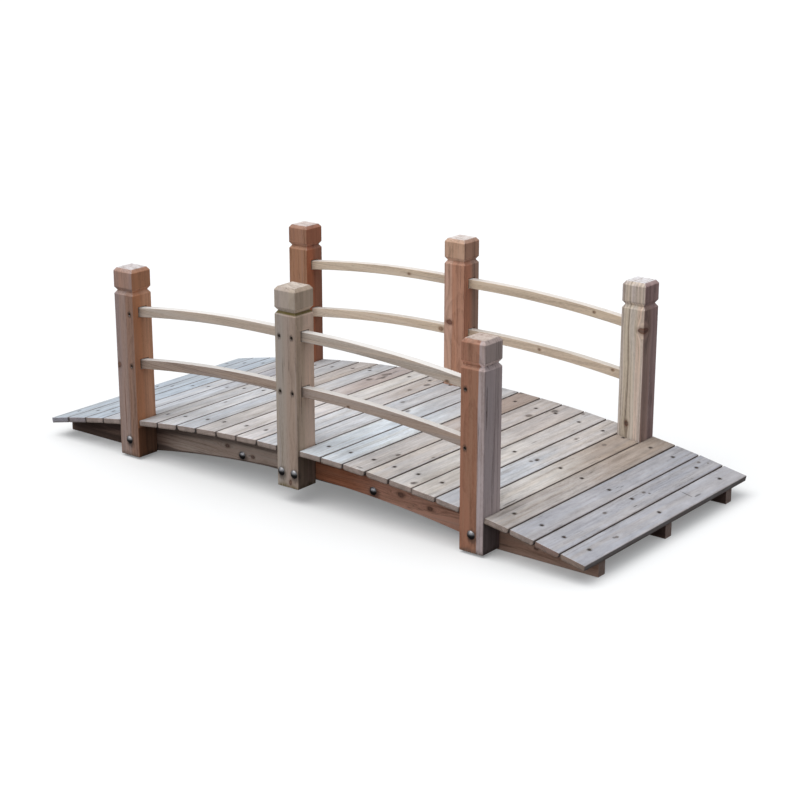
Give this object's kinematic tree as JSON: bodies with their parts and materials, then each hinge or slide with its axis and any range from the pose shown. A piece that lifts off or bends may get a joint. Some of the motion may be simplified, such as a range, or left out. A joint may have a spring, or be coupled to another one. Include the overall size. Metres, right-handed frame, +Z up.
{
  "type": "garden bridge",
  "caption": "Low arched timber garden bridge: board deck on three arched stringers, grooved square posts, and two arched rails let into the posts of each bay.",
  "frame": {"origin": "on the ground under the middle of the bridge", "axes": "+X along the walkway to the right end, +Y across it to the far side, +Z up"},
  "size_m": [1.524, 0.673, 0.4826],
  "materials": {
    "deck_boards": "weathered, unpainted",
    "stringers": "weathered, unpainted",
    "posts": "planed, unpainted",
    "rails": "planed, unpainted",
    "bolts": "zinc plated"
  },
  "bodies": {
    "root": {"deck_left_end": "deck_boards", "deck_left_post_board": "deck_boards", "deck_left_bay": "deck_boards", "deck_middle_board": "deck_boards", "deck_right_bay": "deck_boards", "deck_right_post_board": "deck_boards", "deck_right_end": "deck_boards", "stringer_near_left": "stringers", "stringer_near_right": "stringers", "stringer_middle_left": "stringers", "stringer_middle_right": "stringers", "stringer_far_left": "stringers", "stringer_far_right": "stringers", "splice_near": "stringers", "splice_middle": "stringers", "splice_far": "stringers", "post_near_left": "posts", "post_near_middle": "posts", "post_near_right": "posts", "post_far_left": "posts", "post_far_middle": "posts", "post_far_right": "posts", "rail_near_left_upper": "rails", "rail_near_left_lower": "rails", "rail_near_right_upper": "rails", "rail_near_right_lower": "rails", "rail_far_left_upper": "rails", "rail_far_left_lower": "rails", "rail_far_right_upper": "rails", "rail_far_right_lower": "rails", "bolts_near": "bolts", "bolts_middle": "bolts", "bolts_far": "bolts"}
  },
  "joints": []
}
